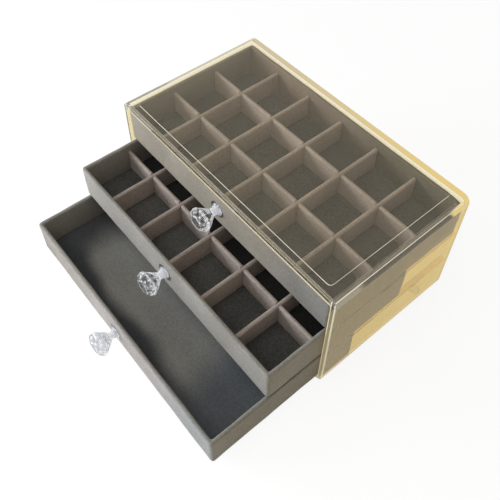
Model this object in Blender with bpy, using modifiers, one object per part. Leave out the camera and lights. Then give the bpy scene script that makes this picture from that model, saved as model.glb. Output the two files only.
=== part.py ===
"""Tiered jewelry box: a clear moulded acrylic case with three velvet-covered drawers, open at the front.

The top two drawers hold interlocking divider boards, the bottom one is undivided, and each drawer has a
faceted acrylic knob. +X runs to the right along the front, the drawers open towards -Y and +Z is up. The
middle and bottom drawers stand part open, and the origin is the middle of the table area that the box then
covers, level with the undersides of its feet.
"""

import math

import bmesh
import bpy
from mathutils import Matrix, Vector

# Case, in metres
CASE_WIDTH = 0.235
CASE_DEPTH = 0.1315
CASE_HEIGHT = 0.108
CASE_WALL = 0.0038
BASE_THICKNESS = 0.0032
CORNER_RADIUS = 0.0070
INNER_CORNER_RADIUS = 0.0022
BACK_EDGE_RADIUS = 0.0020
INNER_BACK_RADIUS = 0.0012
MOULDED_EDGE_RADIUS = 0.0004
LIP_DROP = 0.0022
LIP_DEPTH = 0.0030
PLATEAU_RISE = 0.0008
PLATEAU_FRONT_INSET = 0.0064
PLATEAU_SIDE_INSET = 0.0113
PLATEAU_BACK_INSET = 0.0092
PLATEAU_CORNER_RADIUS = 0.0030
LEDGE_THICKNESS = 0.0018
LEDGE_REACH = 0.0042
LEDGE_SETBACK = 0.0085
LEDGE_END_RADIUS = 0.0030

# Bumper feet
FOOT_DIAMETER = 0.0080
FOOT_THICKNESS = 0.0015
FOOT_EDGE_RADIUS = 0.0006
FOOT_SIDE_INSET = 0.0110
FOOT_END_INSET = 0.0205

# Drawers and how they sit in the case
DRAWER_COUNT = 3
DRAWER_SIDE_GAP = 0.0007
DRAWER_HEAD_GAP = 0.0011
DRAWER_BACK_GAP = 0.0007
FRONT_INSET = 0.0010
MIDDLE_OPENING = 0.0493
BOTTOM_OPENING = 0.0958
TRAY_WALL = 0.0032
TRAY_FLOOR = 0.0024
TRAY_CORNER_RADIUS = 0.0024
TRAY_EDGE_RADIUS = 0.0011

# Floor lining and divider boards
LINING_THICKNESS = 0.0016
LINING_SIDE_GAP = 0.0005
LINING_EDGE_RADIUS = 0.0005
BOARD_THICKNESS = 0.0032
BOARD_DROP = 0.0062
BOARD_EDGE_RADIUS = 0.0012
COLUMNS = 6
ROWS = 3

# Knob: turned stem, faceted head
KNOB_LENGTH = 0.0195
KNOB_BASE_RADIUS = 0.0072
KNOB_BASE_RIM = 0.0006
NECK_RADIUS = 0.0030
PAVILION_WAIST_RADIUS = 0.0074
GIRDLE_RADIUS = 0.0097
CROWN_WAIST_RADIUS = 0.0086
TABLE_RADIUS = 0.0062
KNOB_FACETS = 8

# Where the knob's shapes stand, as shares of its length from the drawer's face
NECK_START_SHARE = 0.215
NECK_END_SHARE = 0.290
PAVILION_WAIST_SHARE = 0.550
STEM_END_SHARE = 0.650
GIRDLE_START_SHARE = 0.745
GIRDLE_END_SHARE = 0.793
CROWN_WAIST_SHARE = 0.918

# Knob screw, countersunk in the tray's front wall
SCREW_RADIUS = 0.0018
SCREW_HEAD_RADIUS = 0.0034
SCREW_HEAD_RIM = 0.0004
SCREW_SINK = 0.0003
SCREW_GRIP = 0.0062
SCREW_CLEARANCE = 0.0003
DRIVE_WIDTH = 0.0008
DRIVE_DEPTH = 0.0009
DRIVE_REACH = 0.0022

# The gap that touching pieces keep, the overrun of cuts and joins past a face, and the merge distance
FIT = 0.0003
OVERRUN = 0.0010
MERGE = 0.00001

# Facet counts
LARGE_CORNER_STEPS = 8
SMALL_CORNER_STEPS = 4
EDGE_STEPS = 2
ROUND_STEPS = 24
FLARE_STEPS = 6

# Places that follow from the sizes
FRONT = -CASE_DEPTH / 2
BACK = CASE_DEPTH / 2
INNER_HALF_WIDTH = CASE_WIDTH / 2 - CASE_WALL
TOP_UNDERSIDE = CASE_HEIGHT - CASE_WALL
LIP_UNDERSIDE = TOP_UNDERSIDE - LIP_DROP
BAY_PITCH = (LIP_UNDERSIDE - BASE_THICKNESS + LEDGE_THICKNESS) / DRAWER_COUNT
DRAWER_WIDTH = 2 * (INNER_HALF_WIDTH - DRAWER_SIDE_GAP)
DRAWER_DEPTH = CASE_DEPTH - CASE_WALL - FRONT_INSET - DRAWER_BACK_GAP
DRAWER_HEIGHT = BAY_PITCH - LEDGE_THICKNESS - DRAWER_HEAD_GAP - FIT
TRAY_FLOOR_TOP = TRAY_FLOOR - DRAWER_HEIGHT / 2
LINING_TOP = TRAY_FLOOR_TOP + FIT + LINING_THICKNESS
BOARD_BOTTOM = LINING_TOP + FIT
BOARD_TOP = DRAWER_HEIGHT / 2 - BOARD_DROP
BOARD_MIDDLE = (BOARD_BOTTOM + BOARD_TOP) / 2
INNER_LEFT = TRAY_WALL - DRAWER_WIDTH / 2
INNER_RIGHT = -INNER_LEFT
INNER_FRONT = TRAY_WALL
INNER_BACK = DRAWER_DEPTH - TRAY_WALL
FRONT_REACH = BOTTOM_OPENING + KNOB_LENGTH - FRONT_INSET
NECK_START = KNOB_LENGTH * NECK_START_SHARE

# Colours, linear, and finishes of the pieces
ACRYLIC = ("golden clear acrylic", (0.80, 0.69, 0.42), 0.06, 0.0, 0.35)
KNOB_ACRYLIC = ("clear acrylic", (0.82, 0.84, 0.86), 0.04, 0.0, 0.35)
VELVET = ("greige velvet", (0.36, 0.32, 0.28), 0.92, 0.0, 0.0)
LINING_VELVET = ("dark greige velvet", (0.13, 0.12, 0.11), 0.95, 0.0, 0.0)
STEEL = ("zinc-plated steel", (0.60, 0.61, 0.62), 0.32, 1.0, 0.0)
SILICONE = ("clear silicone", (0.72, 0.70, 0.62), 0.35, 0.0, 0.35)


def clear_scene():
    """Remove every object that the scene opened with."""
    for old in list(bpy.data.objects):
        bpy.data.objects.remove(old, do_unlink=True)


def make_collection(name):
    """A new collection linked to the scene."""
    collection = bpy.data.collections.new(name)
    bpy.context.scene.collection.children.link(collection)
    return collection


def make_material(finish):
    """One Principled material for a finish, reused where the finish is met again."""
    name, colour, roughness, metallic, transmission = finish
    if name in bpy.data.materials:
        return bpy.data.materials[name]
    material = bpy.data.materials.new(name)
    material.use_nodes = True
    shader = material.node_tree.nodes["Principled BSDF"]
    shader.inputs["Base Color"].default_value = (*colour, 1.0)
    shader.inputs["Roughness"].default_value = roughness
    shader.inputs["Metallic"].default_value = metallic
    shader.inputs["Transmission Weight"].default_value = transmission
    return material


def join_blocks(boxes):
    """Several separate boxes in one bmesh."""
    joined = bmesh.new()
    for low, high in boxes:
        low, high = Vector(low), Vector(high)
        place = Matrix.Translation((low + high) / 2) @ Matrix.Diagonal((*(high - low), 1.0))
        bmesh.ops.create_cube(joined, size=1.0, matrix=place)
    return joined


def block(low, high):
    """A box as a bmesh, from its lowest corner to its highest."""
    return join_blocks([(low, high)])


def along(axis):
    """Chooses edges that run parallel to one axis."""
    return lambda edge: abs((edge.verts[1].co - edge.verts[0].co).normalized()[axis]) > 1 - MERGE


def on_plane(axis, place):
    """Chooses the edges round a flat face that lies square to an axis at a place."""
    return lambda edge: all(abs(vertex.co[axis] - place) < MERGE for vertex in edge.verts)


def at_line(axis, places):
    """Chooses edges parallel to an axis whose other coordinates are near the ones given, as {axis: place}."""
    parallel = along(axis)
    return lambda edge: parallel(edge) and all(
        abs(edge.verts[0].co[other] - place) < MERGE for other, place in places.items()
    )


def round_edges(bm, radius, steps, chosen):
    """Round the chosen edges of a bmesh to a radius."""
    bmesh.ops.bevel(
        bm,
        geom=[edge for edge in bm.edges if chosen(edge)],
        offset=radius,
        segments=steps,
        profile=0.5,
        affect="EDGES",
        clamp_overlap=False,
    )


def place_object(name, bm, collection, parent=None, finish=None, location=(0, 0, 0)):
    """Turn a bmesh into a named object in a collection."""
    bmesh.ops.recalc_face_normals(bm, faces=bm.faces)
    mesh = bpy.data.meshes.new(name)
    bm.to_mesh(mesh)
    bm.free()
    made = bpy.data.objects.new(name, mesh)
    made.location = location
    made.parent = parent
    if finish:
        mesh.materials.append(make_material(finish))
    collection.objects.link(made)
    return made


def place_cutter(name, bm, parent=None, location=(0, 0, 0)):
    """A hidden tool object that another object's Boolean reads."""
    cutter = place_object(name, bm, CUTTERS, parent, None, location)
    cutter.hide_render = True
    cutter.display_type = "WIRE"
    return cutter


def add_boolean(target, tool, operation):
    """Cut a tool object from the target, or join it on."""
    modifier = target.modifiers.new(operation.lower(), "BOOLEAN")
    modifier.operation = operation
    modifier.solver = "EXACT"
    modifier.object = tool


def add_bevel(target, radius, angle):
    """Round every edge that is sharper than an angle."""
    modifier = target.modifiers.new("moulded edges", "BEVEL")
    modifier.width = radius
    modifier.segments = EDGE_STEPS
    modifier.limit_method = "ANGLE"
    modifier.angle_limit = angle


def shade_smooth(target, angle):
    """Smooth shading up to an angle between faces."""
    target.data.shade_smooth()
    target.data.set_sharp_from_angle(angle=angle)


def turned(name, profile, collection, finish, parent=None, location=(0, 0, 0)):
    """A piece turned about Y from a profile of (distance from the axis, reach out from the drawer's face).

    The profile runs from the end inside the drawer outwards.
    """
    mesh = bpy.data.meshes.new(name)
    points = [(radius, -reach, 0.0) for radius, reach in profile]
    mesh.from_pydata(points, [(i, i + 1) for i in range(len(points) - 1)], [])
    made = bpy.data.objects.new(name, mesh)
    made.location = location
    made.parent = parent
    screw = made.modifiers.new("turned", "SCREW")
    screw.axis = "Y"
    screw.steps = ROUND_STEPS
    screw.render_steps = ROUND_STEPS
    screw.use_merge_vertices = True
    screw.merge_threshold = MERGE
    if finish:
        mesh.materials.append(make_material(finish))
    collection.objects.link(made)
    return made


def build_case_shell():
    """The moulded case: a rounded block, hollowed from the front, with side ledges, a lip and a plateau.

    The drawers rest on the ledges, and a second box stacks on the plateau. The case's places, like the
    drawers', are measured from the middle of its own flat underside.
    """
    shell = block((-CASE_WIDTH / 2, FRONT, 0), (CASE_WIDTH / 2, BACK, CASE_HEIGHT))
    round_edges(shell, CORNER_RADIUS, LARGE_CORNER_STEPS, along(1))
    round_edges(shell, BACK_EDGE_RADIUS, SMALL_CORNER_STEPS - 1, on_plane(1, BACK))
    case = place_object("case_shell", shell, PARTS, CASE_BASE, ACRYLIC)

    hollow = block(
        (-INNER_HALF_WIDTH, FRONT + LIP_DEPTH, BASE_THICKNESS),
        (INNER_HALF_WIDTH, BACK - CASE_WALL, TOP_UNDERSIDE),
    )
    round_edges(hollow, INNER_CORNER_RADIUS, SMALL_CORNER_STEPS, along(1))
    round_edges(hollow, INNER_BACK_RADIUS, EDGE_STEPS, on_plane(1, BACK - CASE_WALL))
    add_boolean(case, place_cutter("case_hollow", hollow, CASE_BASE), "DIFFERENCE")

    mouth = block(
        (-INNER_HALF_WIDTH, FRONT - OVERRUN, BASE_THICKNESS),
        (INNER_HALF_WIDTH, FRONT + LIP_DEPTH + OVERRUN, LIP_UNDERSIDE),
    )
    round_edges(mouth, INNER_CORNER_RADIUS, SMALL_CORNER_STEPS, along(1))
    add_boolean(case, place_cutter("case_mouth", mouth, CASE_BASE), "DIFFERENCE")

    ledges = bmesh.new()
    for tier in range(1, DRAWER_COUNT):
        top = BASE_THICKNESS + tier * BAY_PITCH
        for side in (-1, 1):
            inner = side * (INNER_HALF_WIDTH - LEDGE_REACH)
            outer = side * (INNER_HALF_WIDTH + OVERRUN)
            ledge = block(
                (min(inner, outer), FRONT + LEDGE_SETBACK, top - LEDGE_THICKNESS),
                (max(inner, outer), BACK - CASE_WALL + OVERRUN, top),
            )
            front_end = at_line(2, {0: inner, 1: FRONT + LEDGE_SETBACK})
            round_edges(ledge, LEDGE_END_RADIUS, SMALL_CORNER_STEPS, front_end)
            copy = bpy.data.meshes.new("ledge")
            ledge.to_mesh(copy)
            ledge.free()
            ledges.from_mesh(copy)
            bpy.data.meshes.remove(copy)
    add_boolean(case, place_cutter("case_ledges", ledges, CASE_BASE), "UNION")

    half_width = CASE_WIDTH / 2 - PLATEAU_SIDE_INSET
    plateau = block(
        (-half_width, FRONT + PLATEAU_FRONT_INSET, TOP_UNDERSIDE + OVERRUN),
        (half_width, BACK - PLATEAU_BACK_INSET, CASE_HEIGHT + PLATEAU_RISE),
    )
    round_edges(plateau, PLATEAU_CORNER_RADIUS, SMALL_CORNER_STEPS, along(2))
    add_boolean(case, place_cutter("case_plateau", plateau, CASE_BASE), "UNION")
    add_bevel(case, MOULDED_EDGE_RADIUS, math.radians(50))
    shade_smooth(case, math.radians(35))


def build_feet():
    """Four bumper feet under the base."""
    for end, end_name in ((-1, "front"), (1, "back")):
        for side, side_name in ((-1, "left"), (1, "right")):
            foot = bmesh.new()
            bmesh.ops.create_cone(
                foot,
                cap_ends=True,
                segments=ROUND_STEPS,
                radius1=FOOT_DIAMETER / 2,
                radius2=FOOT_DIAMETER / 2,
                depth=FOOT_THICKNESS,
                matrix=Matrix.Translation((0, 0, -FOOT_THICKNESS / 2)),
            )
            round_edges(foot, FOOT_EDGE_RADIUS, EDGE_STEPS, on_plane(2, -FOOT_THICKNESS))
            place = (
                side * (CASE_WIDTH / 2 - FOOT_SIDE_INSET),
                end * (CASE_DEPTH / 2 - FOOT_END_INSET),
                -FIT,
            )
            name = f"bumper_foot_{end_name}_{side_name}"
            made = place_object(name, foot, PARTS, CASE_BASE, SILICONE, place)
            shade_smooth(made, math.radians(35))


def build_tray(drawer, slide):
    """One drawer's tray, hollow and open above, with a hole for its knob screw."""
    bottom, top = -DRAWER_HEIGHT / 2, DRAWER_HEIGHT / 2
    body = block((-DRAWER_WIDTH / 2, 0, bottom), (DRAWER_WIDTH / 2, DRAWER_DEPTH, top))
    round_edges(body, TRAY_CORNER_RADIUS, SMALL_CORNER_STEPS, along(2))
    tray = place_object(f"{drawer}_drawer_tray", body, PARTS, slide, VELVET)

    inside = block((INNER_LEFT, INNER_FRONT, TRAY_FLOOR_TOP), (INNER_RIGHT, INNER_BACK, top + OVERRUN))
    round_edges(inside, TRAY_CORNER_RADIUS - TRAY_EDGE_RADIUS, SMALL_CORNER_STEPS, along(2))
    add_boolean(tray, place_cutter(f"{drawer}_tray_hollow", inside, slide), "DIFFERENCE")
    add_bevel(tray, TRAY_EDGE_RADIUS, math.radians(50))

    bore = SCREW_RADIUS + SCREW_CLEARANCE
    sink = SCREW_HEAD_RADIUS + SCREW_CLEARANCE
    rim_start = SCREW_SINK + SCREW_HEAD_RIM - TRAY_WALL
    profile = [
        (0.0, -TRAY_WALL - OVERRUN),
        (sink, -TRAY_WALL - OVERRUN),
        (sink, rim_start),
        (bore, rim_start + sink - bore),
        (bore, OVERRUN),
        (0.0, OVERRUN),
    ]
    hole = turned(f"{drawer}_screw_hole", profile, CUTTERS, None, slide)
    hole.hide_render = True
    hole.display_type = "WIRE"
    add_boolean(tray, hole, "DIFFERENCE")
    shade_smooth(tray, math.radians(35))


def build_lining(drawer, slide):
    """The velvet-covered board on the tray's floor."""
    gap = LINING_SIDE_GAP
    board = block(
        (INNER_LEFT + gap, INNER_FRONT + gap, TRAY_FLOOR_TOP + FIT),
        (INNER_RIGHT - gap, INNER_BACK - gap, LINING_TOP),
    )
    round_edges(board, TRAY_CORNER_RADIUS - TRAY_EDGE_RADIUS, SMALL_CORNER_STEPS, along(2))
    round_edges(board, LINING_EDGE_RADIUS, EDGE_STEPS, on_plane(2, LINING_TOP))
    place_object(f"{drawer}_drawer_floor_lining", board, PARTS, slide, LINING_VELVET)


def column_places():
    """Where the cross boards stand along X: the drawer's outer width shared equally among the columns."""
    pitch = DRAWER_WIDTH / COLUMNS
    return [pitch * (i + 1) - DRAWER_WIDTH / 2 for i in range(COLUMNS - 1)]


def row_places():
    """Where the long boards stand along Y: the drawer's outer depth shared equally among the rows."""
    pitch = DRAWER_DEPTH / ROWS
    return [pitch * (i + 1) for i in range(ROWS - 1)]


def build_dividers(drawer, slide):
    """Long and cross boards that interlock by halving slots.

    The long boards are slotted from above and the cross boards from below, so that they push together.
    """
    half = BOARD_THICKNESS / 2
    slot = half + FIT
    upper_slots = [
        ((x - slot, 0, BOARD_MIDDLE - FIT / 2), (x + slot, DRAWER_DEPTH, BOARD_TOP + OVERRUN))
        for x in column_places()
    ]
    upper = place_cutter(f"{drawer}_upper_slots", join_blocks(upper_slots), slide)
    lower_slots = [
        ((INNER_LEFT, y - slot, BOARD_BOTTOM - OVERRUN), (INNER_RIGHT, y + slot, BOARD_MIDDLE + FIT / 2))
        for y in row_places()
    ]
    lower = place_cutter(f"{drawer}_lower_slots", join_blocks(lower_slots), slide)

    for place, row_name in zip(row_places(), ("front", "back")):
        board = block((INNER_LEFT + FIT, -half, BOARD_BOTTOM), (INNER_RIGHT - FIT, half, BOARD_TOP))
        for face in (-half, half):
            round_edges(board, BOARD_EDGE_RADIUS, EDGE_STEPS + 1, at_line(0, {1: face, 2: BOARD_TOP}))
        bmesh.ops.translate(board, verts=board.verts, vec=(0, place, 0))
        name = f"{drawer}_drawer_long_divider_{row_name}"
        made = place_object(name, board, PARTS, slide, VELVET)
        add_boolean(made, upper, "DIFFERENCE")
        shade_smooth(made, math.radians(35))

    for number, place in enumerate(column_places(), start=1):
        board = block((-half, INNER_FRONT + FIT, BOARD_BOTTOM), (half, INNER_BACK - FIT, BOARD_TOP))
        for face in (-half, half):
            round_edges(board, BOARD_EDGE_RADIUS, EDGE_STEPS + 1, at_line(1, {0: face, 2: BOARD_TOP}))
        bmesh.ops.translate(board, verts=board.verts, vec=(place, 0, 0))
        name = f"{drawer}_drawer_cross_divider_{number}"
        made = place_object(name, board, PARTS, slide, VELVET)
        add_boolean(made, lower, "DIFFERENCE")
        shade_smooth(made, math.radians(35))


def ring(radius, share, count, turn):
    """Points of a regular ring round the knob's axis, at a share of its length out from the drawer's face."""
    angles = [2 * math.pi * (i + turn) / count for i in range(count)]
    return [(radius * math.cos(a), -share * KNOB_LENGTH, radius * math.sin(a)) for a in angles]


def faceted_head():
    """The knob's head: rings of corners for table, crown, girdle and pavilion, and the hull round them."""
    head = bmesh.new()
    corners = ring(TABLE_RADIUS, 1, KNOB_FACETS, 0)
    corners += ring(CROWN_WAIST_RADIUS, CROWN_WAIST_SHARE, KNOB_FACETS, 0.5)
    corners += ring(GIRDLE_RADIUS, GIRDLE_END_SHARE, 2 * KNOB_FACETS, 0)
    corners += ring(GIRDLE_RADIUS, GIRDLE_START_SHARE, 2 * KNOB_FACETS, 0)
    corners += ring(PAVILION_WAIST_RADIUS, PAVILION_WAIST_SHARE, KNOB_FACETS, 0.5)
    corners += ring(NECK_RADIUS + FIT, NECK_END_SHARE, KNOB_FACETS, 0)
    for corner in corners:
        head.verts.new(corner)
    hull = bmesh.ops.convex_hull(head, input=head.verts)
    spare = dict.fromkeys(hull["geom_interior"] + hull["geom_unused"])
    loose = [item for item in spare if isinstance(item, bmesh.types.BMVert)]
    bmesh.ops.delete(head, geom=loose, context="VERTS")
    return head


def stem_profile():
    """The stem, from its flared base to inside the head: rim, quarter ellipse to the neck, then straight."""
    flare = [
        (
            KNOB_BASE_RADIUS - (KNOB_BASE_RADIUS - NECK_RADIUS) * math.sin(math.pi / 2 * i / FLARE_STEPS),
            NECK_START - (NECK_START - KNOB_BASE_RIM) * math.cos(math.pi / 2 * i / FLARE_STEPS),
        )
        for i in range(FLARE_STEPS + 1)
    ]
    inside_head = KNOB_LENGTH * STEM_END_SHARE
    return [(0.0, FIT), (KNOB_BASE_RADIUS, FIT)] + flare + [(NECK_RADIUS, inside_head), (0.0, inside_head)]


def build_knob(drawer, slide):
    """The clear knob with its screw."""
    head = place_cutter(f"{drawer}_knob_head", faceted_head(), slide)
    knob = turned(f"{drawer}_drawer_knob", stem_profile(), PARTS, KNOB_ACRYLIC, slide)
    add_boolean(knob, head, "UNION")

    bore_end = FIT + SCREW_GRIP + SCREW_CLEARANCE
    bore = bmesh.new()
    bmesh.ops.create_cone(
        bore,
        cap_ends=True,
        segments=ROUND_STEPS,
        radius1=SCREW_RADIUS + SCREW_CLEARANCE,
        radius2=SCREW_RADIUS + SCREW_CLEARANCE,
        depth=bore_end + OVERRUN,
        matrix=Matrix.Translation((0, (OVERRUN - bore_end) / 2, 0)) @ Matrix.Rotation(math.pi / 2, 4, "X"),
    )
    add_boolean(knob, place_cutter(f"{drawer}_knob_bore", bore, slide), "DIFFERENCE")

    head_face = SCREW_SINK - TRAY_WALL
    rim_start = head_face + SCREW_HEAD_RIM
    tip = FIT + SCREW_GRIP
    profile = [
        (0.0, head_face),
        (SCREW_HEAD_RADIUS, head_face),
        (SCREW_HEAD_RADIUS, rim_start),
        (SCREW_RADIUS, rim_start + SCREW_HEAD_RADIUS - SCREW_RADIUS),
        (SCREW_RADIUS, tip),
        (0.0, tip),
    ]
    screw = turned(f"{drawer}_drawer_knob_screw", profile, PARTS, STEEL, slide)
    drive = block(
        (-DRIVE_REACH, -head_face - DRIVE_DEPTH, -DRIVE_WIDTH / 2),
        (DRIVE_REACH, OVERRUN - head_face, DRIVE_WIDTH / 2),
    )
    add_boolean(screw, place_cutter(f"{drawer}_screw_drive", drive, slide), "DIFFERENCE")
    shade_smooth(screw, math.radians(35))


def build_drawer(drawer, tier, opening, divided):
    """One drawer on its own slide, at its place in the case."""
    slide = bpy.data.objects.new(f"{drawer}_drawer_slide", None)
    rest = BASE_THICKNESS + tier * BAY_PITCH + FIT
    slide.parent = CASE_BASE
    slide.location = (0, FRONT + FRONT_INSET - opening, rest + DRAWER_HEIGHT / 2)
    PARTS.objects.link(slide)
    build_tray(drawer, slide)
    build_lining(drawer, slide)
    if divided:
        build_dividers(drawer, slide)
    build_knob(drawer, slide)


clear_scene()
PARTS = make_collection("tiered_jewelry_box")
CUTTERS = make_collection("cutters")
CASE_BASE = bpy.data.objects.new("case_base", None)
CASE_BASE.location = (0, FRONT_REACH / 2, FOOT_THICKNESS + FIT)
PARTS.objects.link(CASE_BASE)
build_case_shell()
build_feet()
build_drawer("bottom", 0, BOTTOM_OPENING, divided=False)
build_drawer("middle", 1, MIDDLE_OPENING, divided=True)
build_drawer("top", 2, 0.0, divided=True)
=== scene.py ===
"""Tiered jewelry box: a clear golden acrylic case with three velvet-covered drawers, two of them in cells.

The sections follow the box as it is put together: case, feet, trays, floor linings, divider boards, knobs
and their screws, and then the table, the lamps and the camera. Sizes are in metres.
"""

import math

import bmesh
import bpy
import numpy as np
from mathutils import Matrix, Vector


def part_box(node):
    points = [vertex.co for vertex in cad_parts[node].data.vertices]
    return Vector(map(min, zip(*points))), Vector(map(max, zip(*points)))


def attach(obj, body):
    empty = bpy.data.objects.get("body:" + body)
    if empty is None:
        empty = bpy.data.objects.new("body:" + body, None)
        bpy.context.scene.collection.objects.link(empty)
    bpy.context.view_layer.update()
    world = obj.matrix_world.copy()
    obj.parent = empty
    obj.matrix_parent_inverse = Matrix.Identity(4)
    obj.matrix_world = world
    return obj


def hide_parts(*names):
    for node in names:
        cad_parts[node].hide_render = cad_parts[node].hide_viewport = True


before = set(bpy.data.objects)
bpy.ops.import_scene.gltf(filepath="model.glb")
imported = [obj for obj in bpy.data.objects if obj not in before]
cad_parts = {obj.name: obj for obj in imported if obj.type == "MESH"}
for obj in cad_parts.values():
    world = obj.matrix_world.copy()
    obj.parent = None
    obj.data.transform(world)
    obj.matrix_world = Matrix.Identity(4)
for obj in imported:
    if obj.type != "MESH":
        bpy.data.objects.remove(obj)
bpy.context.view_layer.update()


# The case is one injection-moulded shell of clear acrylic with a pale golden tint, polished all over: top,
# base, sides and back in one piece, open at the front. The bright lines at its edges are painted highlights,
# and light caught inside its walls is shown as a painted reflection.

CASE_WALL = 0.0038
ACRYLIC_IOR = 1.49
CLEAR_WALLS = 9
CASE_REFLECTIONS = 3
CASE_TINT_TOP = "FBF9EF"
CASE_TINT_SIDE = "F4E2A7"
CASE_SHADE_TOP = "FDFBF7"
CASE_SHADE_SIDE = "E8DBB0"
# Colours of the case's painted reflection, with a painted shade at the right, and how much it glows.
PAINTED_REFLECTION_LEFT = "D6CBB2"
PAINTED_REFLECTION_BACK = "F2D78C"
PAINTED_SHADE_RIGHT = "685F50"
PAINTED_REFLECTION_FRONT = "A59D8A"
PAINTED_REFLECTION_STRENGTH = 0.9
# Painted highlight on the case's edges: its colour, how much of the edge it covers, and how much it glows.
PAINTED_EDGE_HIGHLIGHT = "F0ECD8"
EDGE_GLOW = 0.6
EDGE_LIGHT = 0.45
MOULD_FLOW = (0.045, 0.0004)
FLOW_STRENGTH = 0.25
HANDLING_MARKS = 0.009
HANDLING_BLOOM = 0.02

# What nodes are often set to. A Mix node takes its two colours at inputs 6 and 7 and gives one at output 2.
SMOOTH = {"interpolation_type": "SMOOTHSTEP"}
COLOUR = {"data_type": "RGBA"}
MULTIPLY = {"operation": "MULTIPLY"}
MAXIMUM = {"operation": "MAXIMUM"}


def linear(colour):
    """Linear RGBA of an sRGB hex colour."""
    srgb = np.array([int(colour[i : i + 2], 16) for i in (0, 2, 4)]) / 255
    rgb = np.where(srgb <= 0.04045, srgb / 12.92, ((srgb + 0.055) / 1.055) ** 2.4)
    return (*rgb.tolist(), 1.0)


def new_material(name):
    """A node material with nothing in it yet."""
    material = bpy.data.materials.new(name)
    material.use_nodes = True
    material.node_tree.nodes.clear()
    return material


def add_node(owner, kind, settings, inputs):
    """Add one node to a material or world, and return its outputs.

    Settings are the node's own choices. Inputs are named, or in the node's own order, and each is a plain
    value or an output of another node, which is linked.
    """
    node = owner.node_tree.nodes.new("ShaderNode" + kind)
    for name, value in settings.items():
        setattr(node, name, value)
    for name, value in inputs.items() if isinstance(inputs, dict) else enumerate(inputs):
        if isinstance(value, bpy.types.NodeSocket):
            owner.node_tree.links.new(value, node.inputs[name])
        else:
            node.inputs[name].default_value = value
    return node.outputs


def dress(node_name, material):
    """Give every slot of a carried-over piece a material."""
    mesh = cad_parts[node_name].data
    if not mesh.materials:
        mesh.materials.append(material)
    for index in range(len(mesh.materials)):
        mesh.materials[index] = material


def clear_plastic(material, tint, shade, painted_reflection_colour, reflections, waves, glow, glow_colour, glow_light):
    """Polished clear acrylic, with the faint waves of its moulding and a duller bloom where it is handled.

    A ray that has turned in it more than some reflections, or crossed very many walls, meets a painted
    reflection, a flat glow in the painted reflection colour. Glow is how much of the surface shows a painted
    highlight in the glow colour instead of what lies behind, and glow light is how much it shines. Light that
    only has to reach what lies behind goes straight through, in the shade colour.
    """
    where = add_node(material, "TexCoord", {}, [])["Object"]
    handled = {"Vector": where, "Scale": 1 / HANDLING_MARKS, "Detail": 3.0, "Roughness": 0.5}
    marks = add_node(material, "TexNoise", {}, handled)["Fac"]
    wave_length, wave_depth = waves
    moulded = {"Vector": where, "Scale": 1 / wave_length, "Detail": 1.0}
    flow = add_node(material, "TexNoise", {}, moulded)["Fac"]
    wavy = {"Height": flow, "Strength": FLOW_STRENGTH, "Distance": wave_depth}
    glassy = add_node(
        material,
        "BsdfPrincipled",
        {},
        {
            "Base Color": add_node(material, "Mix", COLOUR, {0: glow, 6: tint, 7: glow_colour})[2],
            "Roughness": add_node(material, "MapRange", SMOOTH, [marks, 0.35, 0.75, 0.0, HANDLING_BLOOM])[0],
            "IOR": ACRYLIC_IOR,
            "Transmission Weight": add_node(material, "Math", {"operation": "SUBTRACT"}, [1.0, glow])[0],
            "Emission Color": glow_colour,
            "Emission Strength": add_node(material, "Math", MULTIPLY, [glow, glow_light])[0],
            "Normal": add_node(material, "Bump", {}, wavy)["Normal"],
        },
    )[0]
    rays = add_node(material, "LightPath", {}, [])
    turns = add_node(material, "Math", {"operation": "ADD"}, [rays["Glossy Depth"], 0.5])[0]
    turned = add_node(material, "Math", {"operation": "GREATER_THAN"}, [turns, reflections])[0]
    walls = rays["Transmission Depth"]
    crossed = add_node(material, "Math", {"operation": "GREATER_THAN"}, [walls, CLEAR_WALLS - 0.5])[0]
    caught = add_node(material, "Math", MAXIMUM, [turned, crossed])[0]
    # The painted reflection: a flat glow that stands in for light caught between the faces.
    painted_reflection = add_node(material, "Emission", {}, {"Color": painted_reflection_colour, "Strength": PAINTED_REFLECTION_STRENGTH})[0]
    seen = add_node(material, "MixShader", {}, [caught, glassy, painted_reflection])[0]
    unseen_rays = add_node(material, "Math", MAXIMUM, [rays["Is Shadow Ray"], rays["Is Diffuse Ray"]])[0]
    passing = add_node(material, "BsdfTransparent", {}, {"Color": shade})[0]
    both = add_node(material, "MixShader", {}, [unseen_rays, seen, passing])[0]
    add_node(material, "OutputMaterial", {}, {"Surface": both})


# Golden acrylic: nearly clear from above, a warm gold in the sides and back, and painted highlights as pale
# bright lines round the mouth and along the step of the top.
golden = new_material("golden_acrylic")
x, y, z = add_node(golden, "SeparateXYZ", {}, [add_node(golden, "TexCoord", {}, [])["Object"]])
facing = add_node(golden, "SeparateXYZ", {}, [add_node(golden, "NewGeometry", {}, [])["Normal"]])
away = add_node(golden, "Math", {"operation": "ABSOLUTE"}, [x])[0]
lean_y = add_node(golden, "Math", {"operation": "ABSOLUTE"}, [facing["Y"]])[0]
lean_z = add_node(golden, "Math", {"operation": "ABSOLUTE"}, [facing["Z"]])[0]
(left, front, _), (right, back, crest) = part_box("case_shell")
inside = right - CASE_WALL

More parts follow.
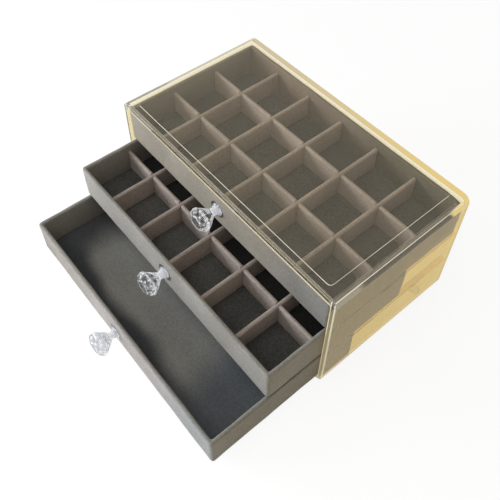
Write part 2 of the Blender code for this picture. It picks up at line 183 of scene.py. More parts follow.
# Each place on the case by one measure: where it begins and where it is full, or, with 1 and 0 after them,
# where it begins to end and where it has ended.
places = {
    "crown": (z, crest - 0.011, crest - 0.008),
    "above_step": (z, crest - 0.0009, crest - 0.0006),
    "beside_step": (lean_z, 0.90, 0.985, 1.0, 0.0),
    "turned_out": (lean_y, 0.15, 0.4),
    "not_square": (lean_y, 0.90, 0.985, 1.0, 0.0),
    "mouth": (y, front + 0.004, front + 0.006, 1.0, 0.0),
    "mouth_face": (y, front + 0.0008, front + 0.0010, 1.0, 0.0),
    "outer_rim": (away, right - 0.0009, right - 0.0006),
    "from_inner_rim": (away, inside - 0.0003, inside - 0.0001),
    "to_inner_rim": (away, inside + 0.0006, inside + 0.0009, 1.0, 0.0),
    "toward_back": (y, back - 0.03, back - 0.005),
    "toward_right": (x, left, right, 0.2, 1.0),
    "front_part": (y, front + 0.045, front + 0.055, 1.0, 0.0),
    "right_part": (x, right - 0.012, right - 0.009),
    "before_back": (y, back - 0.012, back - 0.008, 1.0, 0.0),
    "upper_part": (z, crest - 0.040, crest - 0.032),
    "behind_mouth": (y, front + 0.026, front + 0.034),
}
at = {place: add_node(golden, "MapRange", SMOOTH, measure)[0] for place, measure in places.items()}

# Where the painted edge highlight falls: the mouth's rounded edges, the step of the top and the mouth's rims.
turning = add_node(golden, "Math", MULTIPLY, [at["turned_out"], at["not_square"]])[0]
mouth_edge = add_node(golden, "Math", MULTIPLY, [turning, at["mouth"]])[0]
step = add_node(golden, "Math", MULTIPLY, [at["above_step"], at["beside_step"]])[0]
inner_rim = add_node(golden, "Math", MULTIPLY, [at["from_inner_rim"], at["to_inner_rim"]])[0]
rims = add_node(golden, "Math", MAXIMUM, [at["outer_rim"], inner_rim])[0]
mouth_rims = add_node(golden, "Math", MULTIPLY, [rims, at["mouth_face"]])[0]
edges = add_node(golden, "Math", MAXIMUM, [mouth_edge, step])[0]
edges = add_node(golden, "Math", MAXIMUM, [edges, mouth_rims])[0]

# The painted reflection stands for what the real case mirrors of its room: paler at the left, a deep gold at
# the back, duller at the front, and a painted shade along the right side's upper part.
to_back = add_node(golden, "Math", MULTIPLY, [at["toward_back"], at["toward_right"]])[0]
top_right = add_node(golden, "Math", MULTIPLY, [at["right_part"], at["before_back"]])[0]
top_right = add_node(golden, "Math", MULTIPLY, [top_right, at["upper_part"]])[0]
top_right = add_node(golden, "Math", MULTIPLY, [top_right, at["behind_mouth"]])[0]
painted_reflection = add_node(golden, "Mix", COLOUR, {0: to_back, 6: linear(PAINTED_REFLECTION_LEFT), 7: linear(PAINTED_REFLECTION_BACK)})[2]
painted_reflection = add_node(golden, "Mix", COLOUR, {0: at["front_part"], 6: painted_reflection, 7: linear(PAINTED_REFLECTION_FRONT)})[2]
painted_reflection = add_node(golden, "Mix", COLOUR, {0: top_right, 6: painted_reflection, 7: linear(PAINTED_SHADE_RIGHT)})[2]

reflections = [CASE_REFLECTIONS, at["front_part"]]
reflections = add_node(golden, "Math", {"operation": "SUBTRACT"}, reflections)[0]
tints = {0: at["crown"], 6: linear(CASE_TINT_SIDE), 7: linear(CASE_TINT_TOP)}
shades = {0: at["crown"], 6: linear(CASE_SHADE_SIDE), 7: linear(CASE_SHADE_TOP)}
clear_plastic(
    golden,
    tint=add_node(golden, "Mix", COLOUR, tints)[2],
    shade=add_node(golden, "Mix", COLOUR, shades)[2],
    painted_reflection_colour=painted_reflection,
    reflections=reflections,
    waves=MOULD_FLOW,
    glow=add_node(golden, "Math", MULTIPLY, [edges, EDGE_GLOW])[0],
    glow_colour=linear(PAINTED_EDGE_HIGHLIGHT),
    glow_light=EDGE_LIGHT,
)
dress("case_shell", golden)


# Four small bumper feet lift the case off the table. They are discs of clear silicone, die-cut from a sheet,
# with a softened lower edge, and stick under the base near its corners.

FEET = [f"bumper_foot_{end}_{side}" for end in ("front", "back") for side in ("left", "right")]
SILICONE_IOR = 1.41
DUST_SIZE = 1 / 900  # 1.1 mm: coarser than real dust, so that it shows
DUST_HEIGHT = 0.0001

# Clear silicone: milky and softly dull, with fine dust on it, so that a foot shows as a pale round mark.
clear_silicone = new_material("clear_silicone")
where = add_node(clear_silicone, "TexCoord", {}, [])["Object"]
dusted = {"Vector": where, "Scale": 1 / DUST_SIZE, "Detail": 4.0}
dust = add_node(clear_silicone, "TexNoise", {}, dusted)["Fac"]
dusty = {0: dust, 6: linear("F6F2E4"), 7: linear("ECE5D2")}
relief = {"Height": dust, "Strength": 0.3, "Distance": DUST_HEIGHT}
silicone = add_node(
    clear_silicone,
    "BsdfPrincipled",
    {},
    {
        "Base Color": add_node(clear_silicone, "Mix", COLOUR, dusty)[2],
        "Roughness": add_node(clear_silicone, "MapRange", {}, [dust, 0.0, 1.0, 0.25, 0.5])[0],
        "IOR": SILICONE_IOR,
        "Transmission Weight": 0.8,
        "Normal": add_node(clear_silicone, "Bump", {}, relief)["Normal"],
    },
)[0]
add_node(clear_silicone, "OutputMaterial", {}, {"Surface": silicone})
for foot in FEET:
    dress(foot, clear_silicone)


# The trays are fibreboard boxes wrapped in short-pile greige velvet, which is glued on, folded over the rims
# and pulled into the corners. The front wall of each has a countersunk hole for its knob's screw.

DRAWERS = ("bottom", "middle", "top")
TRAY_WALL = 0.0032
TRAY_FLOOR = 0.0024
TRAY_CORNER = 0.0026
TRAY_INNER_CORNER = 0.0013
TRAY_STEPS = (110, 62, 5)
TRAY_SEED = 11
RIM_RADIUS = 0.0014
FOLD_RADIUS = 0.0007
UNDER_RADIUS = 0.0012
UNDER_BORDER = 0.01
WRAP_RIPPLE = 0.00006
BORE_RADIUS = 0.0021
BORE_STEPS = 32
SINK_RADIUS = 0.0037
SINK_DEPTH = 0.0025
SINK_RIM = 0.0007
TUFT_SIZE = 0.0007
TUFT_HEIGHT = 0.0003
LAY_SIZE = 0.0022
LAY_HEIGHT = 0.0008
UNCHANGED = (1.0, 1.0, 1.0, 1.0)
# Factors of painted light and shade on the trays' velvet: warm bounce, shaded and lit fronts, warm sides,
# shaded back.
WARM_BOUNCE_FRONT = (0.95, 0.885, 0.80, 1.0)
SHADED_FRONT_RIGHT = (0.68, 0.685, 0.69, 1.0)
LOW_FRONT_LIGHT_LEFT = (0.93, 0.90, 0.88, 1.0)
LOW_FRONT_LIGHT_MIDDLE = (1.23, 1.20, 1.27, 1.0)
LOW_FRONT_LIGHT_RIGHT = (1.06, 1.13, 1.24, 1.0)
WARM_LIGHT_SIDE = (0.93, 0.88, 0.76, 1.0)
BACK_WALL_SHADE_LEFT = (0.74, 0.61, 0.56, 1.0)
BACK_WALL_SHADE_RIGHT = (0.40, 0.39, 0.32, 1.0)


def velvet(name, light, dark, stroke_size, stroke_depth, sheen, painted_light=None):
    """Short-pile velvet: stroked patches, the finer lay of the pile, and the grain of its tufts.

    The tufts are about 0.15 mm apart on the real cloth and are drawn 0.7 mm apart, so that they show.
    Painted light is a function that gives a colour of painted light and shade, by which the velvet is
    multiplied from place to place.
    """
    material = new_material(name)
    where = add_node(material, "TexCoord", {}, [])["Object"]
    stroked = {"Vector": where, "Scale": 1 / stroke_size, "Detail": 1.5, "Roughness": 0.45, "Distortion": 0.4}
    strokes = add_node(material, "TexNoise", {}, stroked)["Fac"]
    tufted = {"Vector": where, "Scale": 1 / TUFT_SIZE, "Detail": 2.0, "Roughness": 0.7}
    tufts = add_node(material, "TexNoise", {}, tufted)["Fac"]
    lay = add_node(material, "TexNoise", {}, {"Vector": where, "Scale": 1 / LAY_SIZE, "Detail": 2.0})["Fac"]
    broad = add_node(material, "MapRange", SMOOTH, [strokes, 0.34, 0.66, 0.0, stroke_depth])[0]
    fine = add_node(material, "MapRange", {"clamp": False}, [tufts, 0.3, 0.7, -0.4, 0.9])[0]
    medium = add_node(material, "MapRange", SMOOTH, [lay, 0.3, 0.7, -0.05, 0.15])[0]
    darkness = add_node(material, "Math", {"operation": "ADD"}, [broad, fine])[0]
    darkness = add_node(material, "Math", {"operation": "ADD"}, [darkness, medium])[0]
    darkness = add_node(material, "Clamp", {}, [darkness, -0.6, 1.3])[0]
    unclamped = {"data_type": "RGBA", "clamp_factor": False}
    colour = add_node(material, "Mix", unclamped, {0: darkness, 6: linear(light), 7: linear(dark)})[2]
    if painted_light:
        multiplied = {"data_type": "RGBA", "blend_type": "MULTIPLY"}
        colour = add_node(material, "Mix", multiplied, {0: 1.0, 6: colour, 7: painted_light(material, where)})[2]
    grain = {"Height": tufts, "Strength": 0.7, "Distance": TUFT_HEIGHT}
    grain = add_node(material, "Bump", {}, grain)["Normal"]
    pile = {"Height": lay, "Strength": 0.3, "Distance": LAY_HEIGHT, "Normal": grain}
    cloth = add_node(
        material,
        "BsdfPrincipled",
        {},
        {
            "Base Color": colour,
            "Roughness": add_node(material, "MapRange", {}, [tufts, 0.0, 1.0, 0.85, 1.0])[0],
            "Specular IOR Level": 0.12,
            "Sheen Weight": sheen,
            "Sheen Roughness": 0.42,
            "Sheen Tint": linear("EFE9E0"),
            "Normal": add_node(material, "Bump", {}, pile)["Normal"],
        },
    )[0]
    add_node(material, "OutputMaterial", {}, {"Surface": cloth})
    return material


def tray_painted_light(material, where):
    """Painted light and shade on the trays: fronts, right sides and the top tray's back wall."""
    x, y, z = add_node(material, "SeparateXYZ", {}, [where])
    (_, top_front, top_foot), (top_right, top_back, _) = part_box("top_drawer_tray")
    back_wall = top_back - TRAY_WALL
    low_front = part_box("bottom_drawer_tray")[0][1]
    places = {
        "upper": (z, top_foot - 0.001, top_foot),
        "front": (y, top_front + 0.0010, top_front + 0.0015, 1.0, 0.0),
        "front_right": (x, 0.030, 0.095),
        "back_wall": (y, back_wall - 0.0008, back_wall - 0.0004),
        "back_right": (x, -0.06, 0.07),
        "low_front": (y, low_front + 0.0010, low_front + 0.0015, 1.0, 0.0),
        "low_middle": (x, -0.07, 0.0),
        "low_right": (x, 0.03, 0.09),
        "side": (x, top_right - 0.0010, top_right - 0.0005),
    }
    at = {place: add_node(material, "MapRange", SMOOTH, measure)[0] for place, measure in places.items()}
    fronts = {0: at["front_right"], 6: WARM_BOUNCE_FRONT, 7: SHADED_FRONT_RIGHT}
    fronts = add_node(material, "Mix", COLOUR, fronts)[2]
    backs = {0: at["back_right"], 6: BACK_WALL_SHADE_LEFT, 7: BACK_WALL_SHADE_RIGHT}
    backs = add_node(material, "Mix", COLOUR, backs)[2]
    lows = {0: at["low_middle"], 6: LOW_FRONT_LIGHT_LEFT, 7: LOW_FRONT_LIGHT_MIDDLE}
    lows = add_node(material, "Mix", COLOUR, lows)[2]
    lows = add_node(material, "Mix", COLOUR, {0: at["low_right"], 6: lows, 7: LOW_FRONT_LIGHT_RIGHT})[2]
    at_top = add_node(material, "Math", MULTIPLY, [at["upper"], at["front"]])[0]
    at_back = add_node(material, "Math", MULTIPLY, [at["upper"], at["back_wall"]])[0]
    painted_light = add_node(material, "Mix", COLOUR, {0: at["side"], 6: UNCHANGED, 7: WARM_LIGHT_SIDE})[2]
    painted_light = add_node(material, "Mix", COLOUR, {0: at["low_front"], 6: painted_light, 7: lows})[2]
    painted_light = add_node(material, "Mix", COLOUR, {0: at_top, 6: painted_light, 7: fronts})[2]
    return add_node(material, "Mix", COLOUR, {0: at_back, 6: painted_light, 7: backs})[2]


def arc(centre, radius, start, end, steps):
    """Points (steps + 1, 2) of a circle's arc, from one angle to another, in radians."""
    angle = np.linspace(start, end, steps + 1)
    return np.stack([centre[0] + radius * np.cos(angle), centre[1] + radius * np.sin(angle)], axis=1)


def run(start, end, steps):
    """Points (steps, 2) evenly spaced from one point towards another, without the last."""
    share = np.arange(steps)[:, None] / steps
    return np.asarray(start) + share * (np.asarray(end) - np.asarray(start))


def ripple(points, depth, seed):
    """Move points by a glued cloth's unevenness: the sum of six seeded plane sine waves, 9 to 40 mm long."""
    random = np.random.default_rng(seed)
    waves = random.normal(size=(6, 3))
    waves *= (2 * np.pi / random.uniform(0.009, 0.040, 6) / np.linalg.norm(waves, axis=1))[:, None]
    phases = random.uniform(0, 2 * np.pi, 6)
    lean = random.normal(size=(6, 3))
    lean /= np.linalg.norm(lean, axis=1)[:, None]
    return points + depth * np.sin(points @ waves.T + phases) @ lean


def rounded_rings(half, inset, height, radius, steps):
    """Rings of a rounded rectangle, one for each point of a profile, as an array (profile, ring, 3).

    A ring point is anchor * (half side - inset - radius) + radius * direction: along a straight run the
    anchor moves from corner to corner and the direction is square to the side; round a corner the direction
    turns by 90 degrees. Steps are counted along the X sides, along the Y sides and round each corner.
    """
    steps_x, steps_y, steps_corner = steps
    anchors, directions = [], []
    for quarter in range(4):
        turn = np.array([[0, -1], [1, 0]]) if quarter % 2 else np.eye(2)
        sign = 1 if quarter < 2 else -1
        steps_side = steps_x if quarter % 2 else steps_y
        along = np.linspace(-1, 1, steps_side + 1)[:-1]
        side = np.stack([np.ones(steps_side), along], axis=1)
        anchors.append(side @ turn.T * sign)
        directions.append(np.tile([1.0, 0.0], (steps_side, 1)) @ turn.T * sign)
        angle = np.linspace(0, np.pi / 2, steps_corner + 1)[:-1]
        anchors.append(np.tile([1.0, 1.0], (steps_corner, 1)) @ turn.T * sign)
        directions.append(np.stack([np.cos(angle), np.sin(angle)], axis=1) @ turn.T * sign)
    anchor, direction = np.concatenate(anchors), np.concatenate(directions)
    inner = np.asarray(half)[None, :] - (inset + radius)[:, None]
    flat = anchor[None] * inner[:, None, :] + radius[:, None, None] * direction[None]
    level = np.broadcast_to(height[:, None, None], (*flat.shape[:2], 1))
    return np.concatenate([flat, level], axis=2)


def ring_faces(rows, columns):
    """Quads between neighbouring rings of a grid whose columns close on themselves."""
    row = np.arange(rows - 1)[:, None] * columns
    column = np.arange(columns)[None, :]
    after = (column + 1) % columns
    corners = [row + column, row + after, row + columns + after, row + columns + column]
    return np.stack(corners, axis=2).reshape(-1, 4)


def make_piece(name, points, faces, material, smooth_angle=50):
    """A closed mesh piece: doubled points merged, faces turned outwards, smooth up to an angle in degrees."""
    mesh = bpy.data.meshes.new(name)
    mesh.from_pydata(points.reshape(-1, 3).tolist(), [], [list(face) for face in faces])
    bm = bmesh.new()
    bm.from_mesh(mesh)
    bmesh.ops.remove_doubles(bm, verts=bm.verts, dist=0.000002)
    bmesh.ops.recalc_face_normals(bm, faces=bm.faces)
    bm.to_mesh(mesh)
    bm.free()
    mesh.materials.append(material)
    mesh.shade_smooth()
    mesh.set_sharp_from_angle(angle=math.radians(smooth_angle))
    piece = bpy.data.objects.new(name, mesh)
    bpy.context.scene.collection.objects.link(piece)
    return piece


def bore_for_screw(piece, place):
    """Cut a countersunk hole along Y through a tray's front wall: a profile, turned round the hole's axis."""
    profile = np.array(
        [
            (0.0, TRAY_WALL + 0.001),
            (SINK_RADIUS, TRAY_WALL + 0.001),
            (SINK_RADIUS, TRAY_WALL - SINK_RIM),
            (BORE_RADIUS, TRAY_WALL - SINK_DEPTH),
            (BORE_RADIUS, -0.002),
            (0.0, -0.002),
        ]
    )
    turn = np.linspace(0, 2 * np.pi, BORE_STEPS + 1)[:-1]
    radius, depth = profile[:, 0][:, None], profile[:, 1][:, None]
    points = np.stack([radius * np.cos(turn), depth + 0 * turn, radius * np.sin(turn)], axis=2)
    points += np.asarray(place)
    cutter = make_piece("bore", points, ring_faces(len(profile), BORE_STEPS), piece.data.materials[0])
    cut = piece.modifiers.new("screw hole", "BOOLEAN")
    cut.operation = "DIFFERENCE"
    cut.solver = "EXACT"
    cut.object = cutter
    cut_mesh = bpy.data.meshes.new_from_object(piece.evaluated_get(bpy.context.evaluated_depsgraph_get()))
    piece.modifiers.clear()
    piece.data = cut_mesh
    bpy.data.objects.remove(cutter, do_unlink=True)


# Greige velvet: a dull, warm grey whose pile lightens at a slant and shows where it was stroked, with painted
# light and shade on the trays' fronts, right sides and top back wall.
greige_velvet = velvet("greige_velvet", "B4B0A8", "918E86", 0.040, 0.35, 0.35, tray_painted_light)

for number, drawer in enumerate(DRAWERS):
    low, high = (np.array(corner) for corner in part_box(f"{drawer}_drawer_tray"))
    half = (high - low)[:2] / 2
    tall = high[2] - low[2]
    middle_y = half[1]
    fold = (TRAY_WALL + FOLD_RADIUS, TRAY_FLOOR + FOLD_RADIUS)
    profile = np.concatenate(
        [
            run((middle_y, 0), (UNDER_BORDER, 0), 5),
            run((UNDER_BORDER, 0), (UNDER_RADIUS, 0), 5),
            arc((UNDER_RADIUS, UNDER_RADIUS), UNDER_RADIUS, -np.pi / 2, -np.pi, 4)[:-1],
            run((0, UNDER_RADIUS), (0, tall - RIM_RADIUS), 14),
            arc((RIM_RADIUS, tall - RIM_RADIUS), RIM_RADIUS, np.pi, np.pi / 2, 5)[:-1],
            arc((TRAY_WALL - RIM_RADIUS, tall - RIM_RADIUS), RIM_RADIUS, np.pi / 2, 0, 5)[:-1],
            run((TRAY_WALL, tall - RIM_RADIUS), (TRAY_WALL, fold[1]), 12),
            arc(fold, FOLD_RADIUS, np.pi, 1.5 * np.pi, 3)[:-1],
            run((fold[0], TRAY_FLOOR), (middle_y, TRAY_FLOOR), 5),
            [(middle_y, TRAY_FLOOR)],
        ]
    )
    inset, height = profile[:, 0], profile[:, 1]
    radius = np.clip(TRAY_CORNER - inset, TRAY_INNER_CORNER, TRAY_CORNER)
    radius = np.minimum(radius, np.maximum(middle_y - inset, 0))
    rings = rounded_rings(half, inset, height, radius, TRAY_STEPS)
    rings += np.array([(low[0] + high[0]) / 2, (low[1] + high[1]) / 2, low[2]])
    points = ripple(rings.reshape(-1, 3), WRAP_RIPPLE, TRAY_SEED + number)
    points = np.clip(points, low, high).reshape(rings.shape)
    tray = make_piece(f"{drawer}_tray_velvet", points, ring_faces(*rings.shape[:2]), greige_velvet)
    bore_for_screw(tray, ((low[0] + high[0]) / 2, low[1], (low[2] + high[2]) / 2))
    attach(tray, f"{drawer}_drawer")
    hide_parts(f"{drawer}_drawer_tray")


# On each tray's floor lies a card covered in the same velvet, one shade darker because its pile lies flat
# and away from the eye. It is cut a little small and dropped in, so that a thin dark joint runs round it.

LINING_EDGE = 0.0006
LINING_BORDER = 0.006
LINING_STEPS = (72, 40, 4)
LINING_SEED = 31
# How far the edges of the bottom lining's painted shade wander, and how dark it is.
SHADE_WANDER = 0.03
SHADE_WANDER_SIZE = 0.05
DEEP_SHADE = (0.26, 0.275, 0.32, 1.0)
HALF_SHADE = (0.48, 0.53, 0.62, 1.0)


def lit_middle(material, where):
    """Painted light on the bottom lining's middle, with painted shade at its wandering borders."""
    noise = {"Vector": where, "Scale": 1 / SHADE_WANDER_SIZE, "Detail": 1.0}
    wander = add_node(material, "TexNoise", {}, noise)["Color"]
    wandering = [wander, (SHADE_WANDER, SHADE_WANDER, 0.0), where]
    moved = add_node(material, "VectorMath", {"operation": "MULTIPLY_ADD"}, wandering)[0]
    x, y, _ = add_node(material, "SeparateXYZ", {}, [moved])
    shift = SHADE_WANDER / 2
    (left, front, _), (right, _, _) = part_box("bottom_drawer_tray")
    places = {
        "off_left": (x, left + 0.012 + shift, left + 0.040 + shift),
        "off_front": (y, front + 0.010 + shift, front + 0.024 + shift),
        "off_right": (x, right - 0.070 + shift, right - 0.030 + shift, 1.0, 0.0),
    }
    at = {place: add_node(material, "MapRange", SMOOTH, measure)[0] for place, measure in places.items()}
    middle = add_node(material, "Math", MULTIPLY, [at["off_left"], at["off_front"]])[0]
    painted_light = add_node(material, "Mix", COLOUR, {0: middle, 6: DEEP_SHADE, 7: UNCHANGED})[2]
    return add_node(material, "Mix", COLOUR, {0: at["off_right"], 6: HALF_SHADE, 7: painted_light})[2]


def shaded_second_row(material, where):
    """Painted shade in the middle drawer's cells behind the front row."""
    (_, start, _), (_, end, _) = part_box("middle_drawer_long_divider_front")
    y = add_node(material, "SeparateXYZ", {}, [where])["Y"]
    behind = add_node(material, "MapRange", SMOOTH, [y, start, end, 0.0, 0.8])[0]
    return add_node(material, "Mix", COLOUR, {0: behind, 6: UNCHANGED, 7: DEEP_SHADE})[2]


# Flat-lying velvet: darker and smoother than the trays'. The bottom card's is a lighter copy, as painted
# light, with painted shade at its borders; the middle card's has painted shade behind the front row.
linings = {
    "bottom": velvet("lit_lining_velvet", "ABABA6", "8D8E8B", 0.060, 0.3, 0.22, lit_middle),
    "middle": velvet("shaded_lining_velvet", "6B6B67", "4C4D4C", 0.060, 0.5, 0.22, shaded_second_row),
    "top": velvet("lining_velvet", "6B6B67", "4C4D4C", 0.060, 0.5, 0.22),
}

for number, drawer in enumerate(DRAWERS):
    low, high = (np.array(corner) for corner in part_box(f"{drawer}_drawer_floor_lining"))
    half = (high - low)[:2] / 2
    thick = high[2] - low[2]
    profile = np.concatenate(
        [
            run((half[1], 0), (0, 0), 4),
            run((0, 0), (0, thick - LINING_EDGE), 2),
            arc((LINING_EDGE, thick - LINING_EDGE), LINING_EDGE, np.pi, np.pi / 2, 4)[:-1],
            run((LINING_EDGE, thick), (LINING_BORDER, thick), 4),
            run((LINING_BORDER, thick), (half[1], thick), 14),
            [(half[1], thick)],
        ]
    )
    inset, height = profile[:, 0], profile[:, 1]
    radius = np.minimum(np.full(len(inset), TRAY_INNER_CORNER), np.maximum(half[1] - inset, 0))
    rings = rounded_rings(half, inset, height, radius, LINING_STEPS)
    rings += np.array([(low[0] + high[0]) / 2, (low[1] + high[1]) / 2, low[2]])
    points = ripple(rings.reshape(-1, 3), WRAP_RIPPLE, LINING_SEED + number)
    points = np.clip(points, low, high).reshape(rings.shape)
    lining = make_piece(f"{drawer}_floor_velvet", points, ring_faces(*rings.shape[:2]), linings[drawer])
    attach(lining, f"{drawer}_drawer")
    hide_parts(f"{drawer}_drawer_floor_lining")


# The divider boards are card strips with velvet folded over their top edge. Halving slots, cut from above in
# the long boards and from below in the cross boards, let them push together into a grid for the tray.

DIVIDED = ("middle", "top")
LONG_BOARDS = ("front", "back")
CROSS_BOARDS = 5
BOARD_TOP_RADIUS = 0.0015
BOARD_FOOT_RADIUS = 0.0003
BOARD_HEM = 0.001
BOARD_STATIONS = 90
BOARD_SEED = 51
BOARD_RIPPLE = WRAP_RIPPLE * 0.7
SLOT_GAP = 0.0003
SLOT_MARGIN = 0.0002


def board_surface(length, thick, tall, slots, slot_half, slot_level, from_above):
    """A slotted board along its own first axis, as an array (stations, section, 3).

    The section is a strip with a rounded top. Its height is cut down to the slot level, or its foot is lifted
    to it, at every station inside a slot, and the stations on both sides of a slot's edge lie together, which
    makes the slot's upright faces.
    """
    edges = np.array([place + side * slot_half for place in slots for side in (-1, 1)])
    plain = np.linspace(-length / 2, length / 2, BOARD_STATIONS)
    near_slot = np.any(np.abs(plain[:, None] - np.asarray(slots)[None]) < slot_half + SLOT_MARGIN, axis=1)
    stations = np.sort(np.concatenate([plain[~near_slot], edges, edges]))
    inside = np.zeros(len(stations), bool)
    for place in slots:
        first = np.searchsorted(stations, place - slot_half, side="left") + 1
        last = np.searchsorted(stations, place + slot_half, side="right") - 1
        inside[first:last] = True
    side_x = thick / 2
    top, foot = BOARD_TOP_RADIUS, BOARD_FOOT_RADIUS
    section = np.concatenate(
        [
            arc((side_x - foot, foot), foot, -np.pi / 2, 0, 2),
            run((side_x, BOARD_HEM), (side_x, tall - top), 9),
            arc((side_x - top, tall - top), top, 0, np.pi / 2, 6),
            arc((top - side_x, tall - top), top, np.pi / 2, np.pi, 6),
            run((-side_x, tall - top - BOARD_HEM / 2), (-side_x, BOARD_HEM / 2), 9),
            arc((foot - side_x, foot), foot, np.pi, 1.5 * np.pi, 2),
        ]
    )
    across = np.broadcast_to(section[:, 0], (len(stations), len(section)))
    level = np.broadcast_to(section[:, 1], (len(stations), len(section)))
    cut = np.minimum(level, slot_level) if from_above else np.maximum(level, slot_level)
    level = np.where(inside[:, None], cut, level)
    along = np.broadcast_to(stations[:, None], across.shape)
    return np.stack([along, across, level], axis=2)


def board_faces(stations, section):
    """Quads along a board, and one face at each end."""
    ends = [list(range(section)), list(range((stations - 1) * section, stations * section))]
    return [list(face) for face in ring_faces(stations, section)] + ends


# Divider velvet: the same cloth, drawn lighter and a little pinker than the trays'.
divider_velvet = velvet("divider_velvet", "CEC0B7", "A69A92", 0.030, 0.3, 0.35)

for drawer_number, drawer in enumerate(DIVIDED):
    cross_names = [f"{drawer}_drawer_cross_divider_{number}" for number in range(1, CROSS_BOARDS + 1)]
    long_names = [f"{drawer}_drawer_long_divider_{row}" for row in LONG_BOARDS]
    cross_boxes = [np.array(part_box(name)) for name in cross_names]
    long_boxes = [np.array(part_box(name)) for name in long_names]
    cross_places = [box[:, 0].mean() for box in cross_boxes]
    long_places = [box[:, 1].mean() for box in long_boxes]
    for index, (name, box) in enumerate(zip(long_names + cross_names, long_boxes + cross_boxes)):
        is_long = name in long_names
        centre = box.mean(axis=0)
        size = box[1] - box[0]
        length, thick = (size[0], size[1]) if is_long else (size[1], size[0])
        slots = np.array(cross_places) - centre[0] if is_long else np.array(long_places) - centre[1]
        slot_level = size[2] / 2 + (-SLOT_GAP / 2 if is_long else SLOT_GAP / 2)
        grid = board_surface(length, thick, size[2], slots, thick / 2 + SLOT_GAP, slot_level, is_long)
        stations, section = grid.shape[:2]
        if not is_long:
            grid = grid[:, :, [1, 0, 2]]
        points = grid.reshape(-1, 3) + np.array([centre[0], centre[1], box[0][2]])
        points = ripple(points, BOARD_RIPPLE, BOARD_SEED + 10 * drawer_number + index)
        points = np.clip(points, box[0], box[1])
        short = name.replace("_drawer_", "_").replace("divider", "divider_velvet")
        board = make_piece(short, points, board_faces(stations, section), divider_velvet)
        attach(board, f"{drawer}_drawer")
        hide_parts(name)


# Each knob is one moulded piece of clear acrylic, polished, with flat facets on its head and a smooth
# trumpet stem. A screw from inside the drawer holds it against the front.

KNOB_REFLECTIONS = 2
KNOB_WAVES = (0.006, 0.0025)
KNOB_TINT = "BCBEC3"
KNOB_SHADE = "FBFBFC"
# Colours of the knobs' painted reflection, bright or dim, and of the painted shade at the flange's rim.
KNOB_PAINTED_BRIGHT = "FFFFFF"
KNOB_PAINTED_DIM = "A9ACB1"
KNOB_PAINTED_RIM_SHADE = "3E3A35"
KNOB_GLOW = "F2F4F8"
KNOB_LIGHT = 0.66
STEM_GLOW = 0.34
FACET_EDGE = 0.0032
FACET_LIGHT_SIZE = 0.004

for drawer in DRAWERS:
    # Clear acrylic with painted glints: some of the facets' edges and the stem glow white as painted
    # highlights, the other facets carry a painted reflection, bright or dim from place to place, and the
    # flange's rim is painted dark as shade.
    knob_acrylic = new_material(f"{drawer}_knob_acrylic")
    (left, _, foot), (right, back, top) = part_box(f"{drawer}_drawer_knob")
    where = add_node(knob_acrylic, "TexCoord", {}, [])["Object"]
    y = add_node(knob_acrylic, "SeparateXYZ", {}, [where])["Y"]
    to_axis = [where, (1.0, 0.0, 1.0), ((left + right) / -2, 0.0, (foot + top) / -2)]
    from_axis = add_node(knob_acrylic, "VectorMath", {"operation": "MULTIPLY_ADD"}, to_axis)[0]
    radius = add_node(knob_acrylic, "VectorMath", {"operation": "LENGTH"}, [from_axis])["Value"]
    noise = {"Vector": where, "Scale": 1 / FACET_LIGHT_SIZE, "Detail": 1.0}
    facet_light = add_node(knob_acrylic, "TexNoise", {}, noise)["Fac"]
    rounded = add_node(knob_acrylic, "Bevel", {"samples": 6}, {"Radius": FACET_EDGE})["Normal"]
    flat = add_node(knob_acrylic, "NewGeometry", {}, [])["Normal"]
    alike = add_node(knob_acrylic, "VectorMath", {"operation": "DOT_PRODUCT"}, [rounded, flat])["Value"]
    places = {
        "off_axis": (radius, 0.0032, 0.0048),
        "flange": (y, back - 0.0034, back - 0.0026),
        "stem_core": (radius, 0.0036, 0.0044, STEM_GLOW, 0.0),
        "stem": (y, back - 0.0100, back - 0.0070),
        "head": (y, back - 0.0060, back - 0.0050, 1.0, 0.0),
        "facet_edge": (alike, 0.955, 0.995, 1.0, 0.0),
        "lit_facet": (facet_light, 0.38, 0.52),
        "dim_facet": (facet_light, 0.45, 0.60),
    }
    at = {}
    for place, measure in places.items():
        at[place] = add_node(knob_acrylic, "MapRange", SMOOTH, measure)[0]
    # Painted shade at the flange's rim, painted glints on the stem's core and on the head's lit facet edges.
    rim = add_node(knob_acrylic, "Math", MULTIPLY, [at["off_axis"], at["flange"]])[0]
    stem_glow = add_node(knob_acrylic, "Math", MULTIPLY, [at["stem_core"], at["stem"]])[0]
    lit_head = add_node(knob_acrylic, "Math", MULTIPLY, [at["lit_facet"], at["head"]])[0]
    lit_edges = add_node(knob_acrylic, "Math", MULTIPLY, [at["facet_edge"], lit_head])[0]
    facets = {0: at["dim_facet"], 6: linear(KNOB_PAINTED_BRIGHT), 7: linear(KNOB_PAINTED_DIM)}
    painted_reflection = add_node(knob_acrylic, "Mix", COLOUR, facets)[2]
    clear_plastic(
        knob_acrylic,
        tint=linear(KNOB_TINT),
        shade=linear(KNOB_SHADE),
        painted_reflection_colour=add_node(knob_acrylic, "Mix", COLOUR, {0: rim, 6: painted_reflection, 7: linear(KNOB_PAINTED_RIM_SHADE)})[2],
        reflections=KNOB_REFLECTIONS,
        waves=KNOB_WAVES,
        glow=add_node(knob_acrylic, "Math", MAXIMUM, [stem_glow, lit_edges])[0],
        glow_colour=linear(KNOB_GLOW),
        glow_light=KNOB_LIGHT,
    )
    dress(f"{drawer}_drawer_knob", knob_acrylic)


# The knob screws are turned steel, zinc-plated, with a plain countersunk head that sits in the front wall's
# hole, just below the velvet.

PLATING_GRAIN = 0.0007  # coarser than real plating, so that it shows
PLATING_HEIGHT = 0.00005

